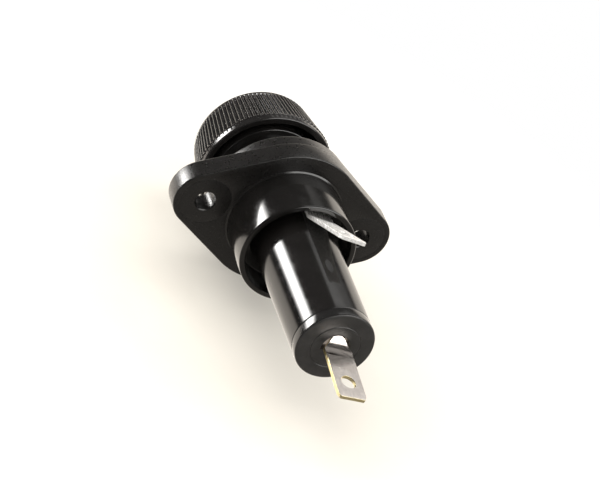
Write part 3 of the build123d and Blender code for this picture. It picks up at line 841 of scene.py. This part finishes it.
def coil_piece(name, low, high, wire, closed_turns, open_turns):
    """Compression spring between two box corners, with close-wound ends."""
    mean = high.x - wire / 2
    steps_per_turn = 40
    ring_steps = 12
    turns = 2 * closed_turns + open_turns
    closed_pitch = wire * 1.05
    span = high.y - low.y - wire
    open_pitch = (span - 2 * closed_turns * closed_pitch) / open_turns
    bm = bmesh.new()
    rings = []
    height = 0.0
    for step in range(steps_per_turn * turns + 1):
        at = step / steps_per_turn
        angle = 2 * math.pi * at
        outward = Vector((math.sin(angle), 0, math.cos(angle)))
        centre = outward * mean + Vector((0, low.y + wire / 2 + height, 0))
        ring = []
        for i in range(ring_steps):
            a = 2 * math.pi * i / ring_steps
            offset = outward * math.cos(a) + Vector((0, 1, 0)) * math.sin(a)
            ring.append(bm.verts.new(centre + offset * (wire / 2)))
        rings.append(ring)
        in_ends = at < closed_turns or at >= turns - closed_turns
        height += (closed_pitch if in_ends else open_pitch) / steps_per_turn
    skin(bm, rings)
    return new_object(name, bm)


def make_spring(node, wire, body):
    """Spring that fills a node's box, with a mesh of its own."""
    low, high = box_mm(node)
    spring = coil_piece(node + "_coil", low, high, wire, closed_turns=1, open_turns=3)
    stand_in(spring, node, body)
    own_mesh(spring)
    return spring


def make_fuse_cap(node, opens):
    """Pressed cap with a rolled bead; opens is the way along Y that its open end faces, 1 or -1."""
    low, high = box_mm(node)
    closed, opening = (low.y, high.y) if opens > 0 else (high.y, low.y)
    outer = high.x
    inner = outer - 0.26
    bead = outer - 0.08
    bottom = closed + opens * 0.5
    cap = lathe(node + "_shell", [
        (0, closed, 0),
        (outer, closed, 0.45),
        (outer, opening - opens * 1.4, 0.1),
        (bead, opening - opens * 1.2, 0.1),
        (bead, opening - opens * 0.9, 0.1),
        (outer, opening - opens * 0.7, 0.1),
        (outer, opening, 0.12),
        (inner, opening, 0.05),
        (inner, bottom, 0.1),
        (0, bottom, 0),
    ])
    return stand_in(cap, node, "carrier")


def make_fuse_tube():
    """Tube between the fuse's two caps."""
    wall = 1.4
    low, high = box_mm("fuse_tube")
    bore = high.x - wall
    tube = lathe("fuse_body", [
        (bore, low.y, 0.1),
        (high.x, low.y, 0.2),
        (high.x, high.y, 0.2),
        (bore, high.y, 0.1),
    ])
    return stand_in(tube, "fuse_tube", "carrier")


# ---- Materials ----


def opaque(colour):
    """Colour with an alpha of 1, or a node's output as it is."""
    return colour if isinstance(colour, bpy.types.NodeSocket) else (*colour, 1)


class Nodes:
    """Shorthand for the nodes of one tree."""

    def __init__(self, tree):
        self.tree = tree

    def feed(self, socket, value):
        """Links an output to a socket, or sets the socket's value."""
        if isinstance(value, bpy.types.NodeSocket):
            self.tree.links.new(value, socket)
        else:
            socket.default_value = value

    def node(self, kind, inputs=None, **settings):
        """New node with its properties set and its inputs fed, by name or number."""
        made = self.tree.nodes.new(kind)
        for key, value in settings.items():
            setattr(made, key, value)
        for key, value in (inputs or {}).items():
            self.feed(made.inputs[key], value)
        return made

    def math(self, operation, a, b=0.0):
        """Result of one maths node."""
        return self.node("ShaderNodeMath", {0: a, 1: b}, operation=operation).outputs[0]

    def dot(self, a, b):
        """Dot product of two vectors."""
        return self.node("ShaderNodeVectorMath", {0: a, 1: b}, operation="DOT_PRODUCT").outputs["Value"]

    def between(self, value, low, high, out_low=0.0, out_high=1.0):
        """Smooth step from out_low to out_high as value goes from low to high."""
        inputs = {0: value, 1: low, 2: high, 3: out_low, 4: out_high}
        return self.node("ShaderNodeMapRange", inputs, interpolation_type="SMOOTHSTEP").outputs[0]

    def blend(self, share, a, b):
        """Colour a where share is 0, and b where it is 1."""
        inputs = {0: share, 6: opaque(a), 7: opaque(b)}
        return self.node("ShaderNodeMix", inputs, data_type="RGBA").outputs[2]

    def mix(self, share, a, b):
        """Number a where share is 0, and b where it is 1."""
        return self.node("ShaderNodeMix", {0: share, 2: a, 3: b}, data_type="FLOAT").outputs[0]

    def glow(self, colour, strength=1.0):
        """Emission shader."""
        return self.node("ShaderNodeEmission", {0: opaque(colour), 1: strength}).outputs[0]

    def choose(self, share, first, second):
        """Shader first where share is 0, and second where it is 1."""
        return self.node("ShaderNodeMixShader", {0: share, 1: first, 2: second}).outputs[0]


class Shader(Nodes):
    """One node material with a Principled surface and patterns in object coordinates."""

    def __init__(self, name):
        self.material = bpy.data.materials.new(name)
        self.material.use_nodes = True
        super().__init__(self.material.node_tree)
        self.surface = self.tree.nodes["Principled BSDF"]
        self.place = self.node("ShaderNodeTexCoord").outputs["Object"]
        self.last_bump = None

    def noise(self, size_mm, detail=3.0, roughness=0.55, stretch=(1, 1, 1), distortion=0.0):
        """Noise whose features are about size_mm across, drawn out by stretch."""
        scale = 1 / (size_mm * MM)
        scales = [scale / s for s in stretch]
        mapping = self.node("ShaderNodeMapping", {"Vector": self.place, "Scale": scales})
        made = self.node("ShaderNodeTexNoise", {
            "Vector": mapping.outputs[0],
            "Scale": 1.0,
            "Detail": detail,
            "Roughness": roughness,
            "Distortion": distortion,
        })
        return made.outputs["Fac"]

    def specks(self, size_mm, spacing_mm, share):
        """1 on small scattered specks of the given size, for the given share of the cells, else 0."""
        cells = self.node("ShaderNodeTexVoronoi", {"Vector": self.place, "Scale": 1 / (spacing_mm * MM)})
        near = self.math("LESS_THAN", cells.outputs["Distance"], size_mm / spacing_mm)
        pick = self.math("LESS_THAN", self.separate(cells.outputs["Color"])[0], share)
        return self.math("MULTIPLY", near, pick)

    def separate(self, vector):
        """X, Y and Z of a vector."""
        return self.node("ShaderNodeSeparateXYZ", {0: vector}).outputs[0:3]

    def distance(self, a, b):
        """Length of the flat vector (a, b)."""
        squares = self.math("ADD", self.math("MULTIPLY", a, a), self.math("MULTIPLY", b, b))
        return self.math("SQRT", squares)

    def edges(self, radius_mm):
        """1 on sharp edges and 0 on open faces."""
        softened = self.node("ShaderNodeBevel", {"Radius": radius_mm * MM}, samples=4).outputs[0]
        normal = self.node("ShaderNodeNewGeometry").outputs["Normal"]
        return self.between(self.dot(softened, normal), 0.985, 0.90)

    def tint(self, colour, share, strength, other):
        """Colour drawn towards another one by share times strength."""
        return self.blend(self.math("MULTIPLY", share, strength), colour, other)

    def bump(self, height, depth_mm, strength):
        """Adds a bump layer; height runs from 0 to 1."""
        inputs = {"Strength": strength, "Distance": depth_mm * MM, "Height": height}
        if self.last_bump is not None:
            inputs["Normal"] = self.last_bump
        self.last_bump = self.node("ShaderNodeBump", inputs).outputs[0]
        self.feed(self.surface.inputs["Normal"], self.last_bump)

    def set(self, **values):
        """Sets Principled inputs, with underscores for spaces."""
        for key, value in values.items():
            self.feed(self.surface.inputs[key.replace("_", " ")], value)


def phenolic(name, flange_satin):
    """Glossy black moulding with flow marks, orange peel, dust and pale worn edges."""
    black = (0.0070, 0.0066, 0.0062)
    flow_black = (0.0110, 0.0103, 0.0097)
    worn_grey = (0.075, 0.070, 0.066)
    dust_grey = (0.34, 0.32, 0.30)
    dust_share = 0.10 if flange_satin else 0.03
    s = Shader(name)
    flow = s.noise(9, 4, 0.6, (1, 2.5, 1), 0.6)
    colour = s.blend(s.between(flow, 0.35, 0.7), black, flow_black)
    worn = s.math("MULTIPLY", s.edges(0.15), s.between(s.noise(1.1, 4), 0.42, 0.62))
    colour = s.tint(colour, worn, 0.35, worn_grey)
    dust = s.specks(0.05, 1.5, dust_share)
    colour = s.tint(colour, dust, 0.7, dust_grey)
    roughness = s.between(s.noise(2.2, 5, 0.65), 0.3, 0.75, 0.10, 0.19)
    if flange_satin:
        x, _, z = s.separate(s.place)
        outside = s.between(s.distance(x, z), (COLLAR_RADIUS + 0.2) * MM, (COLLAR_RADIUS + 0.5) * MM)
        satin = s.between(s.noise(0.5, 4), 0.3, 0.75, 0.26, 0.42)
        roughness = s.mix(outside, roughness, satin)
    s.set(Base_Color=colour, Roughness=s.math("ADD", roughness, s.math("MULTIPLY", dust, 0.12)), IOR=1.55)
    s.bump(s.noise(3.2, 2, 0.5), 0.02, 0.35)
    s.bump(s.noise(0.25, 2), 0.010, 0.3)
    s.bump(s.noise(0.06, 2), 0.002, 0.35)
    return s.material


def knob_plastic():
    """Semi-gloss black knob with dusty, scuffed ridges."""
    black = (0.0125, 0.0118, 0.0115)
    flow_black = (0.020, 0.0185, 0.0178)
    worn_grey = (0.16, 0.148, 0.138)
    dust_grey = (0.36, 0.34, 0.32)
    s = Shader("knob_plastic")
    scuff = s.noise(0.35, 5, 0.7, (1, 3, 1))
    colour = s.blend(s.between(s.noise(6, 3), 0.35, 0.7), black, flow_black)
    worn = s.math("MULTIPLY", s.edges(0.12), s.between(s.noise(1.3, 4), 0.48, 0.7))
    colour = s.tint(colour, worn, 0.3, worn_grey)
    colour = s.tint(colour, s.specks(0.045, 0.9, 0.05), 0.5, dust_grey)
    s.set(Base_Color=colour, Roughness=s.between(scuff, 0.3, 0.8, 0.13, 0.24), IOR=1.56)
    s.bump(scuff, 0.004, 0.25)
    s.bump(s.noise(0.9, 2), 0.012, 0.3)
    return s.material


def plug_plastic():
    """Glossy black moulding of the end plug, whose end face is greyer, with faint turned rings."""
    side_black = (0.0125, 0.0120, 0.0118)
    face_black = (0.020, 0.0195, 0.0190)
    cloud_grey = (0.033, 0.0315, 0.0305)
    worn_grey = (0.10, 0.095, 0.09)
    dust_grey = (0.3, 0.28, 0.26)
    ring_pitch = 0.35 * MM
    s = Shader("plug_plastic")
    x, y, z = s.separate(s.place)
    rings = s.math("SINE", s.math("MULTIPLY", s.distance(x, z), 2 * math.pi / ring_pitch))
    face = s.between(y, (PLUG_HIGH.y - 0.35) * MM, (PLUG_HIGH.y - 0.1) * MM)
    cloud = s.between(s.noise(2.5, 5, 0.65), 0.3, 0.75)
    colour = s.blend(face, side_black, s.blend(cloud, face_black, cloud_grey))
    worn = s.math("MULTIPLY", s.edges(0.15), s.between(s.noise(0.8, 4), 0.42, 0.65))
    colour = s.tint(colour, worn, 0.5, worn_grey)
    colour = s.tint(colour, s.specks(0.045, 1.1, 0.12), 0.6, dust_grey)
    glossy = s.between(s.noise(1.4, 4), 0.3, 0.7, 0.12, 0.2)
    satin = s.between(s.noise(0.6, 4), 0.3, 0.7, 0.36, 0.5)
    s.set(Base_Color=colour, Roughness=s.mix(face, glossy, satin), IOR=1.53)
    s.bump(s.math("MULTIPLY", rings, face), 0.002, 0.3)
    s.bump(s.noise(0.12, 3), 0.006, 0.4)
    return s.material


def plated_metal(name, low, high, roughness, brush_mm, stretch, metallic=1.0):
    """Rolled or drawn metal with brush lines, stains from low to high, and lighter rubbed edges."""
    s = Shader(name)
    brush = s.noise(brush_mm, 4, 0.6, stretch)
    stain = s.between(s.noise(2.4, 5, 0.65, (1, 1, 1), 0.4), 0.35, 0.72)
    rubbed = [min(1, channel * 1.1) for channel in high]
    colour = s.tint(s.blend(stain, low, high), s.edges(0.1), 0.6, rubbed)
    s.set(Base_Color=colour, Metallic=metallic, Roughness=s.between(brush, 0.25, 0.8, *roughness))
    s.bump(brush, 0.003, 0.35)
    s.bump(s.noise(0.5, 3), 0.006, 0.25)
    return s.material


def fibre_material():
    """Red-brown vulcanised fibre with a paper-like grain."""
    dark_red = (0.22, 0.045, 0.03)
    light_red = (0.40, 0.10, 0.065)
    s = Shader("red_fibre_sheet")
    grain = s.noise(0.15, 5, 0.7, (3, 1, 1))
    colour = s.blend(s.between(grain, 0.3, 0.75), dark_red, light_red)
    s.set(Base_Color=colour, Roughness=s.between(grain, 0.2, 0.8, 0.55, 0.8))
    s.bump(grain, 0.01, 0.5)
    return s.material


def ceramic_material():
    """Unglazed off-white fuse tube with faint speckle."""
    shade = (0.38, 0.36, 0.31)
    off_white = (0.49, 0.47, 0.42)
    speck_brown = (0.25, 0.22, 0.18)
    s = Shader("fuse_ceramic_tube")
    colour = s.blend(s.between(s.noise(3, 5, 0.6), 0.3, 0.75), shade, off_white)
    colour = s.tint(colour, s.specks(0.05, 0.8, 0.12), 0.5, speck_brown)
    s.set(Base_Color=colour, Roughness=s.between(s.noise(0.4, 3), 0.3, 0.7, 0.42, 0.6))
    s.bump(s.noise(0.12, 3), 0.006, 0.4)
    return s.material


def assign(piece, material):
    """Gives a piece one material on every slot."""
    mesh = piece.data
    if not mesh.materials:
        mesh.materials.append(material)
    for index in range(len(mesh.materials)):
        mesh.materials[index] = material


# ---- Stage ----

# Up in the photo, in the frame's axes: the holder isn't upright there.
STUDIO_UP = Vector((0.51, 0.06, 0.857)).normalized()
# Camera axes, distance in metres, lens in millimetres, and the aim in metres along right and up.
CAMERA_RIGHT = Vector((-0.861, 0.252, 0.442))
CAMERA_BACK = Vector((0.465, 0.742, 0.482))
CAMERA_DISTANCE = 0.385
CAMERA_LENS = 107.7
AIM_RIGHT = 0.00333
AIM_UP = -0.00420


def make_camera():
    """Camera at the reference viewing angle."""
    data = bpy.data.cameras.new("camera")
    data.lens = CAMERA_LENS
    data.sensor_width = 36
    data.clip_start = 0.01
    data.clip_end = 50
    camera = bpy.data.objects.new("camera", data)
    bpy.context.scene.collection.objects.link(camera)
    back = CAMERA_BACK.normalized()
    right = (CAMERA_RIGHT - back * CAMERA_RIGHT.dot(back)).normalized()
    up = back.cross(right)
    aim = right * AIM_RIGHT + up * AIM_UP
    rotation = Matrix((right, up, back)).transposed().to_4x4()
    camera.matrix_world = Matrix.Translation(aim + back * CAMERA_DISTANCE) @ rotation
    bpy.context.scene.camera = camera


def floor_material():
    """Floor with painted shade round the holder, darker and warmer there, and a share of white glow over it
    that lightens its shadows; away from the holder it turns into an even white glow.
    """
    # Painted shade: near the holder the floor's colour is darker and warmer than far from it.
    painted_shade_warm = (0.80, 0.755, 0.675)
    painted_shade_warm_pale = (0.83, 0.79, 0.715)
    far_white = (0.95, 0.945, 0.93)
    s = Shader("pale_floor")
    x, y, _ = s.separate(s.place)
    reach = s.distance(x, y)
    near = s.blend(s.between(s.noise(25, 4), 0.3, 0.7), painted_shade_warm, painted_shade_warm_pale)
    colour = s.blend(s.between(reach, 0.04, 0.12), near, far_white)
    s.set(Base_Color=colour, Roughness=0.9, Specular_IOR_Level=0.0)
    # Painted light and shade: near the holder the glow is warm and takes only a share of the surface, which
    # lightens the cast shadows; far away the glow is even white.
    glow_colour = s.blend(s.between(reach, 0.03, 0.12), (1.0, 0.96, 0.87), (1, 1, 1))
    glow_share = s.between(reach, 0.045, 0.16, 0.35, 1.0)
    floor_and_glow = s.choose(glow_share, s.surface.outputs[0], s.glow(glow_colour))
    s.feed(s.tree.nodes["Material Output"].inputs["Surface"], floor_and_glow)
    return s.material


def make_floor():
    """Wide round floor just under the holder."""
    radius = 4.0 / MM
    gap = 0.0001
    bm = bmesh.new()
    bmesh.ops.create_circle(bm, cap_ends=True, segments=128, radius=radius)
    floor = new_object("floor", bm)
    floor.location = (0, 0, min(cad_low.z, HOUSING_LOW.z * MM) - gap)
    floor.data.materials.append(floor_material())
    floor.visible_glossy = False


def area_light(name, direction, distance, size, power, colour=(1, 1, 1)):
    """Soft light that shines on the holder and isn't seen in reflections."""
    data = bpy.data.lights.new(name, "AREA")
    data.shape = "DISK"
    data.size = size
    data.energy = power
    data.color = colour
    light = bpy.data.objects.new(name, data)
    bpy.context.scene.collection.objects.link(light)
    direction = Vector(direction).normalized()
    light.location = direction * distance
    light.rotation_mode = "QUATERNION"
    light.rotation_quaternion = direction.to_track_quat("Z", "Y")
    light.visible_glossy = False
    light.visible_camera = False


def softbox(s, sky, centre, tall, half_width, half_height, edge, strength):
    """Strength inside a soft-edged rectangle on the sky round centre, whose long side lies along tall."""
    centre = Vector(centre).normalized()
    tall = (Vector(tall) - centre * Vector(tall).dot(centre)).normalized()
    wide = centre.cross(tall)
    across = s.math("ABSOLUTE", s.dot(sky, wide))
    along = s.math("ABSOLUTE", s.dot(sky, tall))
    inside = s.math(
        "MULTIPLY",
        s.between(across, half_width + edge, half_width - edge),
        s.between(along, half_height + edge, half_height - edge),
    )
    same_side = s.between(s.dot(sky, centre), 0.0, 0.1)
    return s.math("MULTIPLY", s.math("MULTIPLY", inside, same_side), strength)


def make_world():
    """White backdrop for the camera; for reflections, a pale floor, a dark room and four softboxes."""
    world = bpy.data.worlds.new("studio")
    bpy.context.scene.world = world
    world.use_nodes = True
    world.cycles.sampling_method = "NONE"
    world.node_tree.nodes.clear()
    s = Nodes(world.node_tree)
    sky = s.node("ShaderNodeTexCoord").outputs["Generated"]
    x_axis = (1, 0, 0)
    y_axis = (0, 1, 0)
    softboxes = [
        # Strong key on the +X side, level with the barrel and towards the knob
        softbox(s, sky, (0.742, -0.66, 0.090), y_axis, 0.14, 0.24, 0.11, 34.0),
        # Long weak one over the knob, on the -X side, and a faint one beside it
        softbox(s, sky, (-0.465, -0.442, 0.770), x_axis, 0.15, 0.5, 0.04, 1.5),
        softbox(s, sky, (-0.50, -0.60, 0.625), x_axis, 0.07, 0.3, 0.04, 0.45),
        # Broad one over the rear tab, on the -X side
        softbox(s, sky, (-0.465, 0.60, 0.65), x_axis, 0.32, 0.5, 0.1, 4.5),
    ]
    room_light = 0.06
    level = softboxes[0]
    for more in softboxes[1:] + [room_light]:
        level = s.math("ADD", level, more)
    floor_share = s.between(s.dot(sky, STUDIO_UP), 0.06, -0.12)
    floor_level = s.between(s.dot(sky, y_axis), 0.1, -0.5, 0.30, 1.7)
    room = s.choose(floor_share, s.glow((1.0, 0.985, 0.96), level), s.glow((1.0, 0.92, 0.82), floor_level))
    rays = s.node("ShaderNodeLightPath").outputs
    lit = s.choose(rays["Is Diffuse Ray"], room, s.glow((1.0, 0.98, 0.95), 0.90))
    final = s.choose(rays["Is Camera Ray"], lit, s.glow((1.0, 1.0, 1.0)))
    s.feed(s.node("ShaderNodeOutputWorld").inputs["Surface"], final)


def make_stage():
    """Floor, camera, studio surroundings and lights."""
    make_camera()
    make_floor()
    make_world()
    area_light("key", (0.55, -0.45, 1.0), distance=0.9, size=1.2, power=8, colour=(1.0, 0.98, 0.95))
    area_light("fill", (-0.7, -0.3, 1.0), distance=1.0, size=0.9, power=4)
    bpy.context.scene.view_settings.view_transform = "Standard"


# ---- Build ----

housing_black = phenolic("phenolic_housing", True)
sleeve_black = phenolic("phenolic_sleeve", False)
knob_black = knob_plastic()
plug_black = plug_plastic()
tin = plated_metal("tin_plate", (0.80, 0.73, 0.68), (0.92, 0.86, 0.81),
                   roughness=(0.12, 0.20), brush_mm=0.3, stretch=(1, 12, 1))
matte_tin = plated_metal("matte_tin", (0.72, 0.71, 0.69), (0.90, 0.89, 0.87),
                         roughness=(0.2, 0.4), brush_mm=0.2, stretch=(1, 8, 1), metallic=0.4)
brass = plated_metal("sheared_brass", (0.86, 0.72, 0.38), (0.95, 0.85, 0.55),
                     roughness=(0.28, 0.45), brush_mm=0.1, stretch=(6, 1, 1))
contact_brass = plated_metal("contact_brass", (0.66, 0.47, 0.19), (0.80, 0.64, 0.33),
                             roughness=(0.15, 0.3), brush_mm=0.1, stretch=(1, 6, 1))
spring_wire = plated_metal("spring_wire", (0.30, 0.30, 0.31), (0.50, 0.50, 0.51),
                           roughness=(0.18, 0.36), brush_mm=0.1, stretch=(3, 3, 1))
zinc = plated_metal("zinc_plate", (0.50, 0.51, 0.53), (0.66, 0.67, 0.69),
                    roughness=(0.22, 0.42), brush_mm=0.12, stretch=(3, 1, 3))
nickel = plated_metal("nickel_plate", (0.56, 0.54, 0.50), (0.70, 0.68, 0.64),
                      roughness=(0.10, 0.24), brush_mm=0.12, stretch=(5, 1, 5))
fibre = fibre_material()
ceramic = ceramic_material()

assign(make_housing(), housing_black)
assign(make_knob(), knob_black)
assign(make_knob_face(), knob_black)
assign(make_sleeve(), sleeve_black)
assign(make_plug(), plug_black)
make_rear_terminal(tin, brass)
assign(make_side_terminal(), matte_tin)
assign(make_cup(), contact_brass)
assign(make_spring("knob_spring", KNOB_SPRING_WIRE, "carrier"), spring_wire)
assign(make_spring("rear_spring", REAR_SPRING_WIRE, "housing"), spring_wire)
assign(make_fuse_cap("fuse_cap_front", 1), nickel)
assign(make_fuse_cap("fuse_cap_rear", -1), nickel)
assign(make_fuse_tube(), ceramic)

# Pieces whose CAD shape is shown as it is
CARRIED_OVER = {
    "front_contact_ring": contact_brass,
    "side_terminal_rivet": contact_brass,
    "rear_plunger": contact_brass,
    "carrier_stud": contact_brass,
    "stud_washer": zinc,
    "thrust_washer": zinc,
    "fibre_washer": fibre,
    "fuse_element": tin,
}
for node_name, finish in CARRIED_OVER.items():
    assign(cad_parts[node_name], finish)

make_stage()
